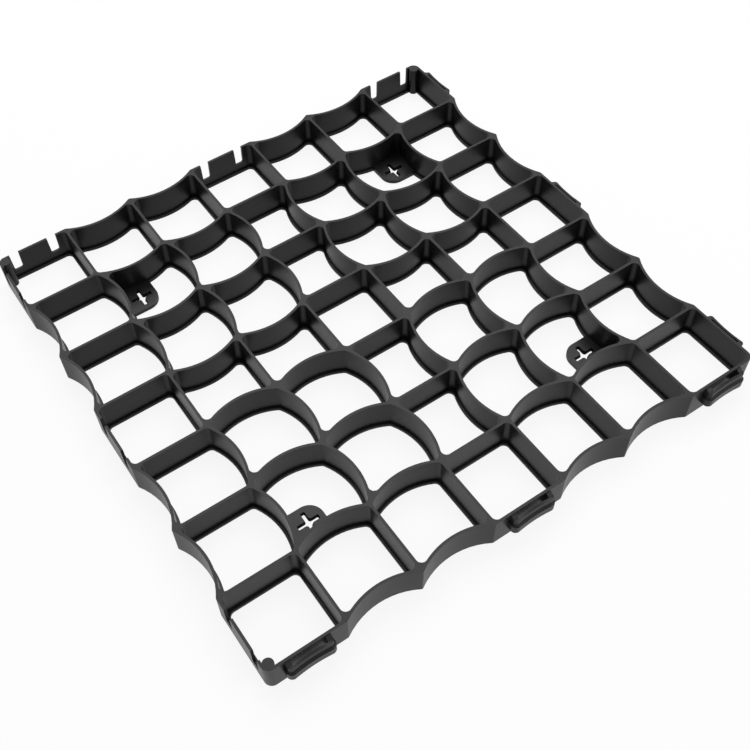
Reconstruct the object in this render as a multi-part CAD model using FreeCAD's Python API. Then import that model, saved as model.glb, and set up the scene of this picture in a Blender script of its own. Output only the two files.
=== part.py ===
# Grass paver grid: one moulded plastic panel of open square cells, laid on level ground and filled
# with soil or gravel. Curved walls bow towards the panel's middle, and loops along two edges drop
# into notches in the next panel's edges.
#
# X and Y run along the panel's edges and Z is up. The panel lies on its feet at Z = 0. The edges at
# low Y and high X carry the loops, the other two the notches. The origin is the middle of the whole
# footprint, loops included.
import FreeCAD
import Part
import os

Vector = FreeCAD.Vector

# Driving dimensions, in millimetres

# Grid of walls
cells = 7                     # cells along each side of the panel
cell_pitch = 71.0             # middle of one wall to middle of the next
panel_height = 31.0
wall = 2.5
bow = 10.0                    # rise of a curved wall over its straight line
straight_step = 3             # every third wall of a row is straight, counted from the panel's edge
cell_corner_radius = 4.8      # upright inside corners, which make the star-shaped webs
rim_corner_radius = 2.0       # upright outside corners along the panel's edges
panel_corner_radius = 7.0     # the panel's own four upright corners

# Foot flange round the bottom of each cell
foot_width = 2.3
foot_thickness = 3.0

# Round posts in three corners of the panel
post_diameter = 9.8
post_cover = 0.3              # least wall left outside a post, at the panel's corner

# Anchor plates, each with a cross-shaped hole for a ground stake
plate_cell = 1                # cells between the plate's cell and the panel's edge
plate_thickness = 4.0
plate_rim = 5.0               # plate left beyond the end of each arm of the cross
plate_corner_radius = 14.0
stake_offset = 28.0           # node to the middle of the cross, along X and along Y
stake_length = 21.0
stake_slot = 4.2
stake_fillet = 2.0            # rounding where the arms of the cross meet

# Locking loops and the notches that take them
lock_step = 3                 # every third cell of an edge has a lock, counted from the corner
lock_tab = 30.0               # wall left standing between the two notches of a lock
notch_width = 9.5
notch_depth = 20.0
notch_taper = 1.0             # how much narrower each notch is at its bottom
lock_clearance = 0.75         # free space beside a lock's tab in the slot, and below a loop in its notches
loop_drop = 3.4               # loop's top below the panel's top
loop_arm = 6.25               # width of the arm at each end, along the wall
loop_slot = 4.2               # free space between the wall and the ends of the strap across the front
loop_strap = 2.5              # strap's thickness at its top
loop_lip = 1.8                # how far the foot of the loop stands out round its upper part
loop_lip_height = 8.0
loop_pinch = 1.1              # how far the strap dips towards the wall at its middle
loop_corner_radius = 4.8
loop_ramp = 2.2               # how far the tops of the arms rise towards the wall

# Dependent sizes

post_radius = post_diameter / 2
post_inset = panel_corner_radius - wall / 2 - (panel_corner_radius - post_cover - post_radius) * 0.5 ** 0.5
plate_reach = stake_offset + stake_length / 2 + plate_rim
loop_reach = loop_slot + loop_strap + loop_lip
loop_gap = lock_tab + 2 * lock_clearance
loop_length = loop_gap + 2 * loop_arm
loop_height = notch_depth - loop_drop - lock_clearance
loop_top = panel_height - loop_drop
footprint = cells * cell_pitch + wall + loop_reach
first_wall_x = -footprint / 2 + wall / 2
first_wall_y = -footprint / 2 + loop_reach + wall / 2
last_wall_x = first_wall_x + cells * cell_pitch
last_wall_y = first_wall_y + cells * cell_pitch


def node(column, row):
    """Point where two wall lines cross, counted from the corner at low X and low Y."""
    return Vector(first_wall_x + column * cell_pitch, first_wall_y + row * cell_pitch, 0)


def wall_line(start, end, line, position, inward):
    """Middle line of one wall: straight, or an arc that bows towards the panel's middle."""
    if position % straight_step == 0:
        return Part.LineSegment(start, end).toShape()
    towards_middle = 1 if line <= cells // 2 else -1
    crown = (start + end) / 2 + inward * (bow * towards_middle)
    return Part.Arc(start, crown, end).toShape()


def wall_along_x(column, row):
    return wall_line(node(column, row), node(column + 1, row), row, column, Vector(0, 1, 0))


def wall_along_y(column, row):
    return wall_line(node(column, row), node(column, row + 1), column, row, Vector(1, 0, 0))


def closed_polygon(corners):
    return Part.makePolygon(corners + corners[:1])


def rounded_offset(wire, distance, radius):
    """Outline moved outwards by distance. A positive radius rounds its outward corners, a negative
    one its inward corners."""
    sharp = wire.makeOffset2D(distance - radius, 2)
    return sharp.makeOffset2D(radius, 0)


def cell_outline(column, row):
    """Middle lines of the four walls round a cell."""
    walls = [wall_along_x(column, row), wall_along_y(column + 1, row),
             wall_along_x(column, row + 1), wall_along_y(column, row)]
    return Part.Wire(Part.__sortEdges__(walls))


def panel_outline():
    """Outer face of the panel's edge walls."""
    walls = []
    for place in range(cells):
        walls += [wall_along_x(place, 0), wall_along_x(place, cells),
                  wall_along_y(0, place), wall_along_y(cells, place)]
    edge = rounded_offset(Part.Wire(Part.__sortEdges__(walls)), wall / 2, rim_corner_radius)
    square = closed_polygon([node(0, 0), node(cells, 0), node(cells, cells), node(0, cells)])
    rounded_square = rounded_offset(square, wall / 2, panel_corner_radius)
    return Part.Face(edge).common(Part.Face(rounded_square)).removeSplitter().Faces[0].OuterWire


def grid_layer(outline, openings, low, high):
    """One level of the grid: the panel's outline less every cell's opening."""
    face = Part.makeFace([outline] + openings, "Part::FaceMakerBullseye")
    face.translate(Vector(0, 0, low))
    return face.extrude(Vector(0, 0, high - low))


def grid():
    """Walls with the foot flange that runs round the bottom of each cell."""
    outline = panel_outline()
    cell_lines = [cell_outline(column, row) for column in range(cells) for row in range(cells)]
    openings = [rounded_offset(line, -wall / 2, cell_corner_radius) for line in cell_lines]
    feet_openings = [line.makeOffset2D(-wall / 2 - foot_width, 2) for line in cell_lines]
    walls = grid_layer(outline, openings, foot_thickness, panel_height)
    return walls.fuse(grid_layer(outline, feet_openings, 0, foot_thickness))


def corner_posts():
    """Posts at the three corners that don't lie between the two loop edges."""
    posts = []
    for column, row in [(0, 0), (0, cells), (cells, cells)]:
        inwards = Vector(1 if column == 0 else -1, 1 if row == 0 else -1, 0)
        middle = node(column, row) + inwards * post_inset
        posts.append(Part.makeCylinder(post_radius, panel_height, middle))
    return posts


def anchor_plate(column, row, step_x, step_y):
    """Plate that fills one corner of a cell. The steps point from that corner into the cell."""
    corner = node(column + (step_x.x < 0), row + (step_y.y < 0))
    far = corner + (step_x + step_y) * plate_reach
    bend = plate_corner_radius * (1 - 0.5 ** 0.5)
    side_x, side_y = corner + step_x * plate_reach, corner + step_y * plate_reach
    bend_start, bend_end = far - step_y * plate_corner_radius, far - step_x * plate_corner_radius
    edges = [Part.LineSegment(corner, side_x),
             Part.LineSegment(side_x, bend_start),
             Part.Arc(bend_start, far - (step_x + step_y) * bend, bend_end),
             Part.LineSegment(bend_end, side_y),
             Part.LineSegment(side_y, corner)]
    tongue = Part.Face(Part.Wire([edge.toShape() for edge in edges]))
    return tongue.common(Part.Face(cell_outline(column, row))).extrude(Vector(0, 0, plate_thickness))


def stake_cross(middle):
    """Cross-shaped cut through a plate, its arms along X and Y."""
    arm, half = stake_length / 2, stake_slot / 2
    quarter = [Vector(arm, -half, 0), Vector(arm, half, 0), Vector(half, half, 0)]
    corners = []
    for turn in range(4):
        corners += [FreeCAD.Rotation(Vector(0, 0, 1), 90 * turn).multVec(point) for point in quarter]
    outline = rounded_offset(closed_polygon(corners), 0, -stake_fillet)
    cross = Part.Face(outline).extrude(Vector(0, 0, plate_thickness))
    cross.translate(middle)
    return cross


def anchors():
    """Plates in the outer corners of four cells, and the crosses to be cut through them."""
    plates, crosses = [], []
    far_cell = cells - 1 - plate_cell
    for column in (plate_cell, far_cell):
        for row in (plate_cell, far_cell):
            step_x = Vector(1 if column == plate_cell else -1, 0, 0)
            step_y = Vector(0, 1 if row == plate_cell else -1, 0)
            plates.append(anchor_plate(column, row, step_x, step_y))
            corner = node(column + (step_x.x < 0), row + (step_y.y < 0))
            crosses.append(stake_cross(corner + (step_x + step_y) * stake_offset))
    return plates, crosses


def lock_places():
    """Distances along an edge from its first wall line to the middle of each lock."""
    return [(place + 0.5) * cell_pitch for place in range(0, cells, lock_step)]


def loop_plan(inset):
    """Plan of a loop's outside, moved inwards by inset, on a wall whose outer face is at Y = 0."""
    half, front = loop_length / 2 - inset, inset - loop_reach
    radius, root = loop_corner_radius - inset, wall / 2
    bend = radius * (1 - 0.5 ** 0.5)
    edges = [
        Part.LineSegment(Vector(-half, root, 0), Vector(-half, front + radius, 0)),
        Part.Arc(Vector(-half, front + radius, 0), Vector(-half + bend, front + bend, 0),
                 Vector(-half + radius, front, 0)),
        Part.Arc(Vector(-half + radius, front, 0), Vector(0, front + loop_pinch, 0),
                 Vector(half - radius, front, 0)),
        Part.Arc(Vector(half - radius, front, 0), Vector(half - bend, front + bend, 0),
                 Vector(half, front + radius, 0)),
        Part.LineSegment(Vector(half, front + radius, 0), Vector(half, root, 0)),
        Part.LineSegment(Vector(half, root, 0), Vector(-half, root, 0))]
    return Part.Face(Part.Wire([edge.toShape() for edge in edges]))


def loop_slot_plan():
    """Plan of the slot that takes the next panel's tab."""
    gap, back = loop_gap / 2, -loop_slot
    edges = [
        Part.LineSegment(Vector(-gap, 0, 0), Vector(-gap, back, 0)),
        Part.Arc(Vector(-gap, back, 0), Vector(0, back + loop_pinch, 0), Vector(gap, back, 0)),
        Part.LineSegment(Vector(gap, back, 0), Vector(gap, 0, 0)),
        Part.LineSegment(Vector(gap, 0, 0), Vector(-gap, 0, 0))]
    return Part.Face(Part.Wire([edge.toShape() for edge in edges]))


def loop_ramps():
    """Wedges on top of the arms, highest at the wall."""
    side = closed_polygon([Vector(0, wall / 2, loop_top), Vector(0, wall / 2, loop_top + loop_ramp),
                           Vector(0, 0, loop_top + loop_ramp), Vector(0, -loop_slot, loop_top)])
    wedge = Part.Face(side).extrude(Vector(loop_arm - loop_lip, 0, 0))
    other = wedge.copy()
    wedge.translate(Vector(loop_gap / 2, 0, 0))
    other.translate(Vector(-loop_gap / 2 - loop_arm + loop_lip, 0, 0))
    return [wedge, other]


def locking_loop():
    """One loop on a wall whose outer face is at Y = 0, standing out towards low Y."""
    slot = loop_slot_plan()
    lip = loop_plan(0).cut(slot).extrude(Vector(0, 0, loop_lip_height))
    body = loop_plan(loop_lip).cut(slot).extrude(Vector(0, 0, loop_height))
    loop = body.fuse(lip)
    loop.translate(Vector(0, 0, loop_top - loop_height))
    return loop.fuse(loop_ramps())


def notch():
    """One tapered notch, centred on X = 0 and cut through a wall whose middle is at Y = 0."""
    top, bottom = notch_width / 2, (notch_width - notch_taper) / 2
    floor = panel_height - notch_depth
    profile = closed_polygon([Vector(-bottom, -wall, floor), Vector(bottom, -wall, floor),
                              Vector(top, -wall, panel_height), Vector(-top, -wall, panel_height)])
    return Part.Face(profile).extrude(Vector(0, 2 * wall, 0))


def placed(shape, middle, turned):
    """Copy of a shape at a point, turned a quarter to stand on an edge that runs along Y."""
    copy = shape.copy()
    if turned:
        copy.rotate(Vector(0, 0, 0), Vector(0, 0, 1), 90)
    copy.translate(middle)
    return copy


def locks():
    """Loops for two edges, and the notches for the two edges opposite."""
    loop, cut = locking_loop(), notch()
    loops, notches = [], []
    for place in lock_places():
        loops.append(placed(loop, Vector(first_wall_x + place, first_wall_y - wall / 2, 0), False))
        loops.append(placed(loop, Vector(last_wall_x + wall / 2, first_wall_y + place, 0), True))
        for side in (-1, 1):
            shift = place + side * (lock_tab + notch_width) / 2
            notches.append(placed(cut, Vector(first_wall_x + shift, last_wall_y, 0), False))
            notches.append(placed(cut, Vector(first_wall_x, first_wall_y + shift, 0), True))
    return loops, notches


def paver():
    loops, notches = locks()
    plates, crosses = anchors()
    body = grid().fuse(corner_posts() + plates + loops)
    return body.cut(notches + crosses).removeSplitter()


os.makedirs("parts", exist_ok=True)
paver().exportStep("parts/paver_grid.step")
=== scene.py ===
"""Grass paver grid: one moulded panel of black plastic, lying on a pale studio floor."""
import math

import bmesh
import bpy
from mathutils import Matrix, Vector


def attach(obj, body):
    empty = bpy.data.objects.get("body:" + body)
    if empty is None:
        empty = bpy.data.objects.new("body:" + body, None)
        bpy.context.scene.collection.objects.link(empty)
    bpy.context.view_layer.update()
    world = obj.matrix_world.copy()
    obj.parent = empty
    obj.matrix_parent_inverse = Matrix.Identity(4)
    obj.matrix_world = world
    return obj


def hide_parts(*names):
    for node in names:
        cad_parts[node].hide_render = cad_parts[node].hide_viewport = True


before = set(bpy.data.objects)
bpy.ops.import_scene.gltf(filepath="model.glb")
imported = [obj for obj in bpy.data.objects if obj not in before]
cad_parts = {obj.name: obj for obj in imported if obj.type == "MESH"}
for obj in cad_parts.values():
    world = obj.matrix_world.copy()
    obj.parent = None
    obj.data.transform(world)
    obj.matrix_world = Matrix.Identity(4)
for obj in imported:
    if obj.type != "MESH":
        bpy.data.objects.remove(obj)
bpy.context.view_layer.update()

# The wall grid, which is most of the panel: 7 by 7 open cells, walls that bow towards the panel's
# middle except at every third place, and a foot flange round the bottom of each cell. It is
# moulded in black plastic, and its rounded cell corners leave star-shaped webs where walls meet.
cell_count, cell_pitch, panel_height, wall_thickness = 7, 0.071, 0.031, 0.0025
wall_sizes = {"Cells": cell_count, "Pitch": cell_pitch, "Height": panel_height, "Wall": wall_thickness,
              "Bow": 0.010, "Straight step": 3, "Straight rise": 0.00005,
              "Foot width": 0.0023, "Foot thickness": 0.003, "Foot edge": 0.0006,
              "Cell corner": 0.0048, "Foot corner": 0.005, "Rim corner": 0.002, "Panel corner": 0.007}
side_steps, corner_steps, levels = 6, 6, 9
merge_distance = 0.00002

# Loops stand out of two edges only, so the walls' middle lies half their reach off the origin.
loop_reach = 0.0085
panel_middle = Vector((-loop_reach / 2, loop_reach / 2, 0))


class Measure:
    """A socket of a node tree, so that sizes and patterns are written as sums and products."""

    def __init__(self, tree, socket=None):
        self.tree, self.socket = tree, socket

    def node(self, kind, settings=None, values=None, output=0):
        """Result of a new node, from its settings and the values or links of its sockets."""
        step = self.tree.nodes.new(kind)
        for name, setting in (settings or {}).items():
            setattr(step, name, setting)
        for name, value in (values or {}).items():
            for given in value if isinstance(value, list) else [value]:
                if isinstance(given, Measure):
                    self.tree.links.new(given.socket, step.inputs[name])
                else:
                    step.inputs[name].default_value = given
        return Measure(self.tree, step.outputs[output])

    def maths(self, operation, *others):
        return self.node("ShaderNodeMath", {"operation": operation}, dict(enumerate((self,) + others)))

    def vector(self, operation, *others):
        output = 1 if operation in ("DOT_PRODUCT", "LENGTH") else 0
        return self.node("ShaderNodeVectorMath", {"operation": operation},
                         dict(enumerate((self,) + others)), output)

    def limited(self):
        """The value, kept between 0 and 1."""
        return self.maths("MAXIMUM", 0.0).maths("MINIMUM", 1.0)

    def joined(self, operation, left, right):
        kind = "ShaderNodeVectorMath" if self.socket.type == "VECTOR" else "ShaderNodeMath"
        return self.node(kind, {"operation": operation}, {0: left, 1: right})

    def __add__(self, other):
        return self.joined("ADD", self, other)

    __radd__ = __add__

    def __sub__(self, other):
        return self.joined("SUBTRACT", self, other)

    def __rsub__(self, other):
        return self.joined("SUBTRACT", other, self)

    def __mul__(self, other):
        if self.socket.type == "VECTOR":
            return self.node("ShaderNodeVectorMath", {"operation": "SCALE"}, {0: self, "Scale": other})
        return self.joined("MULTIPLY", self, other)

    __rmul__ = __mul__

    def __truediv__(self, other):
        return self.joined("DIVIDE", self, other)

    def __rtruediv__(self, other):
        return self.joined("DIVIDE", other, self)

    def __neg__(self):
        return self * -1


# The plastic is an even black with a fine grain. Its upper rims have a painted highlight, a paler
# band with grain in it, and the inner sides of the stake holes have painted shade, a darker matt plastic.
base_black, highlight_black = (0.0045, 0.0043, 0.0052, 1), (0.0135, 0.0130, 0.0150, 1)
hole_shade_black = (0.0040, 0.0039, 0.0045, 1)
highlight_depth, bump_depth, skin = 0.0008, 0.00012, 0.0001
plate_thickness, plate_step, stake_offset, stake_length = 0.004, 2.5 * cell_pitch, 0.028, 0.021
stake_place, stake_round = plate_step - stake_offset, stake_length / 2 + 0.001

black_plastic = bpy.data.materials.new("black_plastic")
black_plastic.use_nodes = True
black_plastic.node_tree.nodes.remove(black_plastic.node_tree.nodes["Principled BSDF"])
plastic = Measure(black_plastic.node_tree)
position = plastic.node("ShaderNodeTexCoord", output="Object")
above_floor = plastic.node("ShaderNodeSeparateXYZ", None, {"Vector": position}, output="Z")


def mottle(scale, detail=2.0, roughness=0.5):
    """Uneven pattern through the plastic, about 0 on average, at so many patches to the metre."""
    return plastic.node("ShaderNodeTexNoise", None, {"Vector": position, "Scale": scale, "Detail": detail,
                                                     "Roughness": roughness}) - 0.5


flow, ripple, grain = mottle(26.0), mottle(140.0), mottle(1500.0, 3.0, 0.65)
# Painted highlight: a band down from the top of the walls is made paler and a little rougher.
highlight_band = ((above_floor - (panel_height - highlight_depth)) / highlight_depth).limited()
rim_highlight = highlight_band * (0.75 + grain * 2.0)
tone = (0.35 + flow * 0.9 + grain * 0.8 + rim_highlight * 0.45).limited()
colour = plastic.node("ShaderNodeMix", {"data_type": "RGBA"}, {0: tone, 6: base_black, 7: highlight_black},
                      output=2)
relief = plastic.node("ShaderNodeBump", None, {"Strength": 0.5, "Distance": bump_depth,
                                               "Height": grain * 0.5 + ripple * 2.0})
outside = plastic.node("ShaderNodeBsdfPrincipled", None, {
    "Base Color": colour, "Roughness": 0.38 + flow * 0.10 + grain * 0.16 + rim_highlight * 0.05,
    "Specular IOR Level": 0.23, "Normal": relief})
# Painted shade: a darker, matt plastic for the inner sides of the stake holes, standing in for the shade
# inside them.
hole_shade = plastic.node("ShaderNodeBsdfPrincipled", None, {
    "Base Color": hole_shade_black, "Roughness": 0.8, "Specular IOR Level": 0.05, "Normal": relief})

# Painted shade mask: within the plate's thickness, close to each stake hole.
from_stake = (position - tuple(panel_middle)).vector("ABSOLUTE")
from_stake = from_stake - (stake_place, stake_place, plate_thickness / 2)
near_stake = from_stake.vector("LENGTH").maths("LESS_THAN", stake_round)
in_plate = (above_floor.maths("GREATER_THAN", skin)
            * above_floor.maths("LESS_THAN", plate_thickness - skin))
plastic_with_hole_shade = plastic.node("ShaderNodeMixShader", None, {0: near_stake * in_plate * 0.9, 1: outside, 2: hole_shade})
output = black_plastic.node_tree.nodes["Material Output"]
black_plastic.node_tree.links.new(plastic_with_hole_shade.socket, output.inputs["Surface"])


def rule_tree(name, sizes):
    """Empty tree with a mesh input and one named input for each size."""
    tree = bpy.data.node_groups.new(name, "GeometryNodeTree")
    tree.interface.new_socket("Mesh", in_out="OUTPUT", socket_type="NodeSocketGeometry")
    tree.interface.new_socket("Template", in_out="INPUT", socket_type="NodeSocketGeometry")
    for label, value in sizes.items():
        kind = "NodeSocketInt" if isinstance(value, int) else "NodeSocketFloat"
        tree.interface.new_socket(label, in_out="INPUT", socket_type=kind)
    entry = tree.nodes.new("NodeGroupInput")
    return tree, {socket.name: Measure(tree, socket) for socket in entry.outputs if socket.name}


def moulded(tree, result, sizes, template=None):
    """Object whose plain mesh a tree makes from its sizes."""
    result = result.node("GeometryNodeRealizeInstances", None, {"Geometry": result})
    result = result.node("GeometryNodeSetMaterial", None, {"Geometry": result, "Material": black_plastic})
    tree.links.new(result.socket, tree.nodes.new("NodeGroupOutput").inputs[0])
    piece = bpy.data.objects.new(tree.name, template or bpy.data.meshes.new(tree.name))
    bpy.context.scene.collection.objects.link(piece)
    rule = piece.modifiers.new(tree.name, "NODES")
    rule.node_group = tree
    for socket in tree.interface.items_tree:
        if socket.in_out == "INPUT" and socket.name in sizes:
            rule[socket.identifier] = sizes[socket.name]
    mesh = bpy.data.meshes.new_from_object(piece.evaluated_get(bpy.context.evaluated_depsgraph_get()))
    piece.modifiers.remove(rule)
    piece.data = mesh
    return piece


wall_tree, size = rule_tree("walls", wall_sizes)
start = Measure(wall_tree)
index = start.node("GeometryNodeInputIndex")
cells, pitch = size["Cells"], size["Pitch"]


def turned(vector):
    """A direction turned a quarter to the left, seen from above."""
    return vector.node("ShaderNodeVectorMath", {"operation": "CROSS_PRODUCT"}, {0: (0, 0, 1), 1: vector})


def point(x, y, z=0.0):
    return start.node("ShaderNodeCombineXYZ", None, {"X": x, "Y": y, "Z": z})


def compass(quarters):
    """Direction so many quarter turns from X."""
    angle = quarters * (math.pi / 2)
    return point(angle.maths("COSINE"), angle.maths("SINE"))


def marked(mesh, marks):
    """The mesh, with each named value kept on its points."""
    for name, value in marks.items():
        directed = isinstance(value, Measure) and value.socket.type == "VECTOR"
        mesh = start.node("GeometryNodeStoreNamedAttribute",
                          {"data_type": "FLOAT_VECTOR" if directed else "FLOAT"},
                          {"Geometry": mesh, "Name": name, "Value": value})
    return mesh


def corner_points(count, marks):
    """One point for each corner that the walls turn. It keeps where the corner is, how its two
    walls arrive and leave with the open side on their left, and its roundings."""
    points = start.node("GeometryNodeMeshLine", {"mode": "OFFSET"}, {"Count": count, "Offset": (0, 0, 0)})
    return marked(points, marks)


# Four corners inside each cell.
cell = (index / 4.0).maths("FLOOR")
to_middle = (cells - 1.0) / 2.0
leave = compass(index.maths("FLOORED_MODULO", 4.0))
cell_middle = point((cell.maths("FLOORED_MODULO", cells) - to_middle) * pitch,
                    ((cell / cells).maths("FLOOR") - to_middle) * pitch)
cell_corner = cell_middle - (leave + turned(leave)) * (pitch / 2.0)
far_out = cell_corner.vector("ABSOLUTE").vector("DOT_PRODUCT", (1, 1, 0))
at_panel_corner = far_out.maths("GREATER_THAN", (cells - 0.5) * pitch)
line_corner = size["Panel corner"] - size["Wall"] / 2.0
cell_corners = corner_points(cells * cells * 4.0, {
    "corner": cell_corner, "arrive": -turned(leave), "leave": leave,
    "wall corner": size["Cell corner"], "foot corner": size["Foot corner"],
    "foot out": size["Wall"] / 2.0 + size["Foot width"], "foot edge": size["Foot edge"],
    "line corner": line_corner * at_panel_corner})

# The ends of the edge walls, followed round the outside, where there is no flange.
along_edge = index.maths("FLOORED_MODULO", cells)
at_panel_corner = along_edge.maths("LESS_THAN", 0.5)
leave = compass(1.0 - (index / cells).maths("FLOOR"))
outside_round = (size["Rim corner"] - size["Panel corner"]) * at_panel_corner - size["Rim corner"]
outside_corners = corner_points(cells * 4.0, {
    "corner": leave * ((along_edge - cells / 2.0) * pitch) + turned(leave) * (cells * pitch / 2.0),
    "arrive": leave * (1.0 - at_panel_corner) + turned(leave) * at_panel_corner, "leave": leave,
    "wall corner": outside_round, "foot corner": outside_round,
    "foot out": size["Wall"] / 2.0, "foot edge": 0.0, "line corner": -line_corner * at_panel_corner})

# A strip goes round each corner from the middle of one wall to the middle of the next. Its levels
# are the wall's middle line and face at the top (0 and 1), the foot of the face (2), the flange's
# rounded upper edge (3 to 6) and lower edge (7), and the middle line at the bottom (8).
strip = start.node("GeometryNodeMeshGrid", None,
                   {"Vertices X": 2 * side_steps + corner_steps + 1, "Vertices Y": levels})
strip = marked(strip, {"along": (index / float(levels)).maths("FLOOR"),
                       "level": index.maths("FLOORED_MODULO", float(levels))})
corners = start.node("GeometryNodeJoinGeometry", None, {"Geometry": [cell_corners, outside_corners]})
strips = start.node("GeometryNodeInstanceOnPoints", None, {"Points": corners, "Instance": strip})
strips = start.node("GeometryNodeRealizeInstances", None, {"Geometry": strips})


def kept(name, kind="FLOAT"):
    """A value that the strips' points carry."""
    return start.node("GeometryNodeInputNamedAttribute", {"data_type": kind}, {"Name": name})


corner, arrive, leave = (kept(name, "FLOAT_VECTOR") for name in ("corner", "arrive", "leave"))
along, level = kept("along"), kept("level")


def levels_from(first, last):
    """1 on the levels from the first to the last, 0 on the others."""
    return level.maths("COMPARE", (first + last) / 2, (last - first) / 2 + 0.1)


on_wall, on_foot = levels_from(1, 2), levels_from(3, 7)
round_edge = ((level - 3.0) / 3.0).limited() * (math.pi / 2)
set_back = kept("foot edge") * (1.0 - round_edge.maths("SINE"))
out = on_wall * (size["Wall"] / 2.0) + on_foot * (kept("foot out") - set_back)
rounding = (on_wall * kept("wall corner") + on_foot * (kept("foot corner") + set_back)
            + (1.0 - on_wall - on_foot) * kept("line corner"))
foot_height = size["Foot thickness"] - kept("foot edge") * (1.0 - round_edge.maths("COSINE"))
height = levels_from(0, 1) * size["Height"] + levels_from(2, 6) * foot_height


def wall_arc(middle, course):
    """A wall's middle line is an arc: its centre, its radius (negative where it bows away from the
    open side) and the crown of the face at this level."""
    inward = turned(course)
    wall_line = (middle.vector("DOT_PRODUCT", course) / pitch).maths("ABSOLUTE").maths("ROUND")
    bowed = wall_line.maths("FLOORED_MODULO", size["Straight step"]).maths("GREATER_THAN", 0.5)
    rise = size["Straight rise"] + (size["Bow"] - size["Straight rise"]) * bowed
    rise = -rise * middle.vector("DOT_PRODUCT", inward).maths("SIGN")
    radius = pitch * pitch / (8.0 * rise) + rise / 2.0
    return middle + inward * (rise - radius), radius, middle + inward * (rise + out)


def either(choice, first, second):
    """The first where the choice is 0, the second where it is 1, and a blend between."""
    return first * (1.0 - choice) + second * choice


# The corner's rounding touches both walls. Its centre is where their two arcs, moved out by the
# rounding, cross, and it is worked out from the tighter arc, which keeps it exact.
centre_1, radius_1, crown_1 = wall_arc(corner - arrive * (pitch / 2.0), arrive)
centre_2, radius_2, crown_2 = wall_arc(corner + leave * (pitch / 2.0), leave)
reach_1, reach_2 = radius_1 + out + rounding, radius_2 + out + rounding
second_tighter = reach_1.maths("ABSOLUTE").maths("GREATER_THAN", reach_2.maths("ABSOLUTE"))
near, far = either(second_tighter, centre_1, centre_2), either(second_tighter, centre_2, centre_1)
tight, wide = either(second_tighter, reach_1, reach_2), either(second_tighter, reach_2, reach_1)
span = (far - near).vector("LENGTH")
way = (far - near).vector("NORMALIZE")
ahead = (tight * tight - wide * wide + span * span) / (2.0 * span)
aside = (tight * tight - ahead * ahead).maths("MAXIMUM", 0.0).maths("SQRT")
aside = aside * turned(way).vector("DOT_PRODUCT", corner - near).maths("SIGN")
hub = near + way * ahead + turned(way) * aside
to_1, to_2 = (centre_1 - hub) * (1.0 / reach_1), (centre_2 - hub) * (1.0 / reach_2)
bend_share = ((along - float(side_steps)) / float(corner_steps)).limited()
round_corner = hub + either(bend_share, to_1, to_2).vector("NORMALIZE") * rounding


def wall_face(crown, contact, centre, radius, steps):
    """Point of a wall's face between its crown and where the corner's rounding touches it."""
    chord = either((steps / float(side_steps)).maths("MINIMUM", 1.0), crown, contact) - centre
    return centre + chord.vector("NORMALIZE") * (radius + out).maths("ABSOLUTE")


last = float(2 * side_steps + corner_steps)
face_1 = wall_face(crown_1, hub + to_1 * rounding, centre_1, radius_1, along)
face_2 = wall_face(crown_2, hub + to_2 * rounding, centre_2, radius_2, last - along)
plan = either(along.maths("LESS_THAN", side_steps - 0.5), round_corner, face_1)
plan = either(along.maths("GREATER_THAN", last - side_steps + 0.5), plan, face_2)
bent = start.node("GeometryNodeSetPosition", None,
                  {"Geometry": strips, "Position": plan + point(*panel_middle.xy, height)})
closed = start.node("GeometryNodeMergeByDistance", None, {"Geometry": bent, "Distance": merge_distance})
for mark in ("corner", "arrive", "leave", "along", "level", "wall corner", "foot corner", "foot out",
             "foot edge", "line corner"):
    closed = start.node("GeometryNodeRemoveAttribute", None, {"Geometry": closed, "Name": mark})
walls = moulded(wall_tree, closed, wall_sizes)

# Round posts in three of the panel's corners, all but the one between the two edges with loops.
# They are plain stubs of the same plastic, as high as the walls and moulded in one with them.
post_radius, post_inset, post_sides = 0.0049, 0.00476, 40


def round_the_middle(name, count, first, template):
    """A template set round the panel's middle by quarter turns."""
    sizes = {"Count": count, "First quarter": first}
    tree, size = rule_tree(name, sizes)
    start = size["Template"]
    index = start.node("GeometryNodeInputIndex")
    points = start.node("GeometryNodeMeshLine", {"mode": "OFFSET"},
                        {"Count": size["Count"], "Start Location": panel_middle, "Offset": (0, 0, 0)})
    turn = start.node("ShaderNodeCombineXYZ", None, {"Z": (index + size["First quarter"]) * (math.pi / 2)})
    copies = start.node("GeometryNodeInstanceOnPoints", None,
                        {"Points": points, "Instance": start, "Rotation": turn})
    return moulded(tree, copies, sizes, template)


def prism(name, plan, bottom, top, foot_plan=None):
    """Upright prism on a plan, given counter-clockwise. Its foot can have a plan of its own."""
    count = len(plan)
    points = [(x, y, bottom) for x, y in foot_plan or plan] + [(x, y, top) for x, y in plan]
    sides = [(k, (k + 1) % count, count + (k + 1) % count, count + k) for k in range(count)]
    mesh = bpy.data.meshes.new(name)
    mesh.from_pydata(points, [], sides + [tuple(range(count - 1, -1, -1)), tuple(range(count, 2 * count))])
    return mesh


def arc(x, y, radius, start, end, steps):
    """Points of an arc in plan, its angles in degrees."""
    turns = [math.radians(start + (end - start) * k / steps) for k in range(steps + 1)]
    return [(x + radius * math.cos(turn), y + radius * math.sin(turn)) for turn in turns]


edge_line = cell_count * cell_pitch / 2
post_middle = post_inset - edge_line
post_plan = arc(post_middle, post_middle, post_radius, 0, 360, post_sides)[:-1]
posts = round_the_middle("posts", 3, 2, prism("post", post_plan, 0, panel_height))

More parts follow.
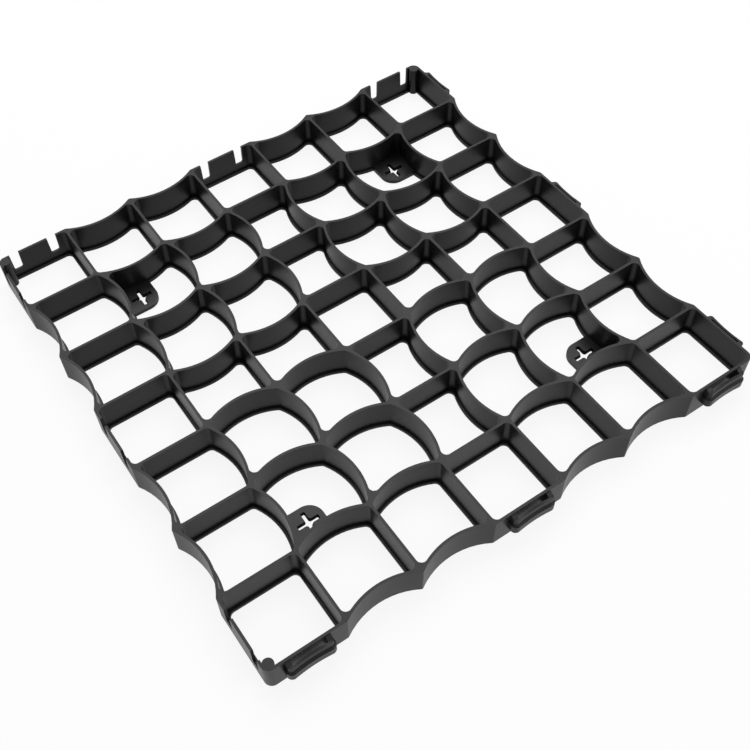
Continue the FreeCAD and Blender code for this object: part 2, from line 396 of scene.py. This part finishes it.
# Anchor plates in the outer corners of four cells, each with a cross-shaped hole for a ground
# stake. They are moulded in one with the walls, level with the flanges' undersides, and the holes
# draw in a little towards the ground.
plate_reach, plate_corner = 0.0435, 0.014
stake_slot, stake_fillet, stake_tip, stake_draft, past_plate = 0.0042, 0.002, 0.0007, 0.18, 0.002
bow_radius = cell_pitch ** 2 / (8 * wall_sizes["Bow"]) + wall_sizes["Bow"] / 2
fall = wall_sizes["Bow"] - bow_radius
half_wall_angle = math.degrees(math.asin(cell_pitch / 2 / bow_radius))
reach_angle = math.degrees(math.acos((plate_reach - cell_pitch / 2) / bow_radius))
low_wall = arc(cell_pitch / 2, fall, bow_radius, 90 + half_wall_angle, reach_angle, 12)
bend = plate_reach - plate_corner
plate_plan = low_wall + arc(bend, bend, plate_corner, 0, 90, 14) + [(y, x) for x, y in low_wall[:0:-1]]
plate_plan = [(x - plate_step, y - plate_step) for x, y in plate_plan]
plates = round_the_middle("plates", 4, 0, prism("plate", plate_plan, 0, plate_thickness))


def cross_plan(wider):
    """Outline of a stake hole, wider than at the plate's top by so much on each side."""
    arm, half, middle = stake_length / 2 + wider, stake_slot / 2 + wider, stake_offset - plate_step
    tip = arc(arm - stake_tip, half - stake_tip, stake_tip, 0, 90, 4)
    crook = arc(half + stake_fillet, half + stake_fillet, stake_fillet, 270, 180, 6)
    outline = []
    for quarter in range(4):
        turn = quarter * math.pi / 2
        for x, y in [(x, -y) for x, y in reversed(tip)] + tip + crook:
            outline.append((x * math.cos(turn) - y * math.sin(turn) + middle,
                            x * math.sin(turn) + y * math.cos(turn) + middle))
    return outline


cross_mesh = prism("cross", cross_plan(past_plate * stake_draft), -past_plate, plate_thickness + past_plate,
                   cross_plan(-(plate_thickness + past_plate) * stake_draft))
crosses = round_the_middle("crosses", 4, 0, cross_mesh)

# Locking loops on two edges, moulded in one with the edge walls. Each is a strap across the front
# with an arm at each end, a thicker lip round its foot, and arms whose tops rise to the wall. The
# next panel's tab fills the slot between strap and wall.
loop_gap, loop_arm, loop_slot, loop_strap = 0.0315, 0.00625, 0.0042, 0.0025
loop_bottom, loop_ledge, loop_top, loop_ramp = 0.01175, 0.01975, 0.0276, 0.0022
loop_corner, loop_pinch, loop_cove, loop_root = 0.0048, 0.0011, 0.0010, 0.00125
loop_lip, loop_half = loop_reach - loop_slot - loop_strap, loop_gap / 2 + loop_arm
arm_middle, slot_corner = 0.0018, 0.0008
bend_steps, front_steps = 5, 8


def along_edges(name, sizes, template):
    """A template set on two neighbouring edges of the panel, at every third cell."""
    sizes = {"Pitch": cell_pitch, "Edge": edge_line + wall_thickness / 2, **sizes}
    tree, size = rule_tree(name, sizes)
    start = size["Template"]
    index = start.node("GeometryNodeInputIndex")
    per_lock = size["Per lock"]
    edge = (index / (per_lock * 3.0)).maths("FLOOR")
    lock = ((index / per_lock).maths("FLOOR")).maths("FLOORED_MODULO", 3.0) - 1.0
    side = index.maths("FLOORED_MODULO", per_lock) * 2.0 - (per_lock - 1.0)
    turn = start.node("ShaderNodeCombineXYZ", None, {"Z": (edge + size["First edge"]) * (math.pi / 2)})
    place = start.node("ShaderNodeCombineXYZ", None,
                       {"X": lock * 3.0 * size["Pitch"] + side * size["Half spacing"], "Y": -size["Edge"]})
    place = start.node("ShaderNodeVectorRotate", {"rotation_type": "EULER_XYZ"},
                       {"Vector": place, "Rotation": turn})
    points = start.node("GeometryNodeMeshLine", {"mode": "OFFSET"},
                        {"Count": per_lock * 6.0, "Start Location": panel_middle, "Offset": (0, 0, 0)})
    points = start.node("GeometryNodeSetPosition", None, {"Geometry": points, "Offset": place})
    copies = start.node("GeometryNodeInstanceOnPoints", None,
                        {"Points": points, "Instance": start, "Rotation": turn})
    return moulded(tree, copies, sizes, template)


def pinched(x, half, depth):
    """Y of the strap's face at X, where it dips towards the wall at its middle."""
    return -depth + loop_pinch * (1 - (x / half) ** 2)


# Stations from the left arm's root round the front to the right arm's: outer face at the lip, the
# direction that it faces, and inner face.
arm_run = [(y, max(y, slot_corner - loop_slot))
           for y in (loop_root, 0, -arm_middle, loop_corner - loop_reach)]
half_loop = [((-loop_half, y), (-1, 0), (-loop_gap / 2, inner)) for y, inner in arm_run]
for k in range(1, bend_steps + 1):
    turn = math.radians(180 + 90 * k / bend_steps)
    facing = (math.cos(turn), math.sin(turn))
    outer = (-loop_half + loop_corner + loop_corner * facing[0],
             -loop_reach + loop_corner + loop_corner * facing[1])
    inner = (-loop_gap / 2 + slot_corner + slot_corner * facing[0],
             -loop_slot + slot_corner + slot_corner * facing[1])
    half_loop.append((outer, facing, inner))
outer_end, inner_end = loop_half - loop_corner, loop_gap / 2 - slot_corner
for k in range(1, front_steps + 1):
    outer_x, inner_x = -outer_end * (1 - k / front_steps), -inner_end * (1 - k / front_steps)
    half_loop.append(((outer_x, pinched(outer_x, outer_end, loop_reach)), (0, -1),
                      (inner_x, pinched(inner_x, inner_end, loop_slot))))
stations = half_loop + [((-x, y), (-u, v), (-s, t)) for (x, y), (u, v), (s, t) in half_loop[-2::-1]]


def loop_section(outer, facing, inner):
    """Section of the loop at a station, from the lip's foot over the top to the slot."""
    cove = [(loop_lip - loop_cove * (1 - math.sin(math.radians(turn))),
             loop_ledge + loop_cove * (1 - math.cos(math.radians(turn)))) for turn in (0, 30, 60, 90)]
    steps = [(0, loop_bottom), (0, loop_ledge)] + cove
    spots = [(outer[0] - facing[0] * inset, outer[1] - facing[1] * inset, z) for inset, z in steps]
    for x, y in (spots[-1][:2], inner):
        spots.append((x, y, loop_top + loop_ramp * min(max((y + loop_slot) / loop_slot, 0), 1)))
    return spots + [(inner[0], inner[1], loop_bottom)]


sections = [loop_section(*station) for station in stations]
ring, last_section = len(sections[0]), len(sections) - 1
faces = [(s * ring + k, (s + 1) * ring + k, (s + 1) * ring + (k + 1) % ring, s * ring + (k + 1) % ring)
         for s in range(last_section) for k in range(ring)]
faces += [tuple(range(ring)), tuple(range(last_section * ring + ring - 1, last_section * ring - 1, -1))]
loop_mesh = bpy.data.meshes.new("loop")
loop_mesh.from_pydata([spot for section in sections for spot in section], [], faces)
loops = along_edges("loops", {"Per lock": 1, "First edge": 0, "Half spacing": 0.0}, loop_mesh)

# Notches in the other two edges, a pair for each loop of the next panel, with a tab between the
# two. They are tapered slots through the edge wall with rounded bottoms, left open at the top by
# the mould.
lock_tab, notch_width, notch_depth, notch_taper, notch_round = 0.030, 0.0095, 0.020, 0.001, 0.0015
past_top, past_wall = 0.004, 0.0015
slope = notch_taper / 2 / notch_depth
bottom_half, bottom_height = (notch_width - notch_taper) / 2, panel_height - notch_depth
right_side = arc(bottom_half - notch_round, bottom_height + notch_round, notch_round, 270, 360, 6)
right_side.append((bottom_half + slope * (notch_depth + past_top), panel_height + past_top))
notch_plan = right_side + [(-x, z) for x, z in reversed(right_side)]
notch_mesh = prism("notch", notch_plan, -past_wall, wall_thickness + past_wall)

# Stood up by trading Y for Z, which also turns it inside out.
notch_mesh.transform(Matrix(((1, 0, 0, 0), (0, 0, 1, 0), (0, 1, 0, 0), (0, 0, 0, 1))))
notch_mesh.flip_normals()
notches = along_edges("notches", {"Per lock": 2, "First edge": 2,
                                  "Half spacing": (lock_tab + notch_width) / 2}, notch_mesh)

# The moulding: walls, posts, plates and loops are one body of black plastic, moulded in one shot
# with the notches and the crosses left open. Its outer edges come out of the mould slightly
# rounded, and its inner edges less so.
edge_round, sharp_angle, inner_share = 0.00045, math.radians(40), 0.35
for piece, operation in ((posts, "UNION"), (plates, "UNION"), (loops, "UNION"),
                         (notches, "DIFFERENCE"), (crosses, "DIFFERENCE")):
    fuse = walls.modifiers.new(piece.name, "BOOLEAN")
    fuse.operation, fuse.solver, fuse.object = operation, "MANIFOLD", piece
grid = bpy.data.meshes.new_from_object(walls.evaluated_get(bpy.context.evaluated_depsgraph_get()))
for piece in (walls, posts, plates, loops, notches, crosses):
    bpy.data.objects.remove(piece)
panel = bpy.data.objects.new("paver", grid)
bpy.context.scene.collection.objects.link(panel)
shape = bmesh.new()
shape.from_mesh(grid)
weight = shape.edges.layers.float.new("bevel_weight_edge")
for edge in shape.edges:
    angle = edge.calc_face_angle_signed()
    if abs(angle) > sharp_angle:
        edge[weight] = 1.0 if angle > 0 else inner_share
shape.to_mesh(grid)
shape.free()
edges = panel.modifiers.new("rounded_edges", "BEVEL")
edges.width, edges.segments, edges.limit_method, edges.harden_normals = edge_round, 2, "WEIGHT", True
grid.shade_smooth()
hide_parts("paver_grid")
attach(panel, "root")

# The floor, a wide sheet of white studio paper just under the panel's flanges. It is laid flat and
# takes the panel's soft shadow.
paper_reach, paper_drop, paper_glow = 8, 0.0002, 0.88
floor_mesh = bpy.data.meshes.new("floor")
floor_mesh.from_pydata([(-paper_reach, -paper_reach, 0), (paper_reach, -paper_reach, 0),
                        (paper_reach, paper_reach, 0), (-paper_reach, paper_reach, 0)], [], [(0, 1, 2, 3)])
floor = bpy.data.objects.new("floor", floor_mesh)
bpy.context.scene.collection.objects.link(floor)
floor.location.z = -paper_drop


def background_rays(tree):
    """1 for a ray that shows the background itself, 0 for one that lights the paver."""
    rays = tree.node("ShaderNodeLightPath", output="Is Camera Ray")
    for mirrored in ("Is Glossy Ray", "Is Transmission Ray"):
        rays = rays.maths("MAXIMUM", tree.node("ShaderNodeLightPath", output=mirrored))
    return rays


studio_paper = bpy.data.materials.new("studio_paper")
studio_paper.use_nodes = True
paper = Measure(studio_paper.node_tree)
matt = paper.node("ShaderNodeBsdfPrincipled", None, {"Base Color": (0.9, 0.9, 0.9, 1), "Roughness": 0.9,
                                                     "Specular IOR Level": 0.1})
white = paper.node("ShaderNodeEmission", None, {"Color": (1, 1, 1, 1), "Strength": 1.0})
both = paper.node("ShaderNodeMixShader", None,
                  {0: background_rays(paper) * paper_glow, 1: matt, 2: white})
output = studio_paper.node_tree.nodes["Material Output"]
studio_paper.node_tree.links.new(both.socket, output.inputs["Surface"])
floor_mesh.materials.append(studio_paper)

# Studio light: an even white sky all round, a large softbox above the panel's far side, and a
# smaller one in front that lifts the walls facing the camera. Both are frames of white cloth on
# stands, aimed at the panel's middle.
sky_light = 0.36
world = bpy.data.worlds.new("studio")
bpy.context.scene.world = world
world.use_nodes = True
background = world.node_tree.nodes["Background"]
background.inputs["Color"].default_value = (1, 1, 1, 1)
sky = sky_light + background_rays(Measure(world.node_tree)) * (1.0 - sky_light)
world.node_tree.links.new(sky.socket, background.inputs["Strength"])


def softbox(name, place, width, depth, power):
    data = bpy.data.lights.new(name, "AREA")
    data.shape = "RECTANGLE"
    data.size, data.size_y = width, depth
    data.energy = power
    lamp = bpy.data.objects.new(name, data)
    bpy.context.scene.collection.objects.link(lamp)
    lamp.location = place
    lamp.rotation_euler = (-Vector(place)).to_track_quat("-Z", "Y").to_euler()


softbox("overhead", (0.5, 0.9, 1.9), 2.2, 1.6, 36)
softbox("front", (1.3, -1.6, 1.6), 1.4, 1.0, 14)

# The camera looks down on the panel as in the photograph, from high over its near corner. Its
# place is counted in cells from the wall grid's corner at low X and low Y, and its lens in pixels
# of the square picture. They were found by laying the wall grid over the photograph.
eye_in_cells, yaw, pitch, roll = Vector((-1.1879, -3.91409, 10.98403)), 1.03946, 0.94522, 0.07055
picture_width, focal_pixels, axis_across, axis_down = 750, 1057.657, 338.480, 379.685
grid_corner = panel_middle - Vector((edge_line, edge_line, 0))
eye = grid_corner + cell_pitch * eye_in_cells
forward = Vector((math.cos(pitch) * math.cos(yaw), math.cos(pitch) * math.sin(yaw), -math.sin(pitch)))
right = forward.cross(Vector((0, 0, 1))).normalized()
down = forward.cross(right)
across = math.cos(roll) * right + math.sin(roll) * down
below = -math.sin(roll) * right + math.cos(roll) * down
lens = bpy.data.cameras.new("camera")
lens.sensor_width = 36
lens.lens = focal_pixels / picture_width * lens.sensor_width
lens.shift_x = (picture_width / 2 - axis_across) / picture_width
lens.shift_y = (axis_down - picture_width / 2) / picture_width
lens.clip_end = 50
camera = bpy.data.objects.new("camera", lens)
bpy.context.scene.collection.objects.link(camera)
aim = Matrix((across, -below, -forward)).transposed().to_4x4()
camera.matrix_world = Matrix.Translation(eye) @ aim
bpy.context.scene.camera = camera
bpy.context.scene.view_settings.view_transform = "Standard"
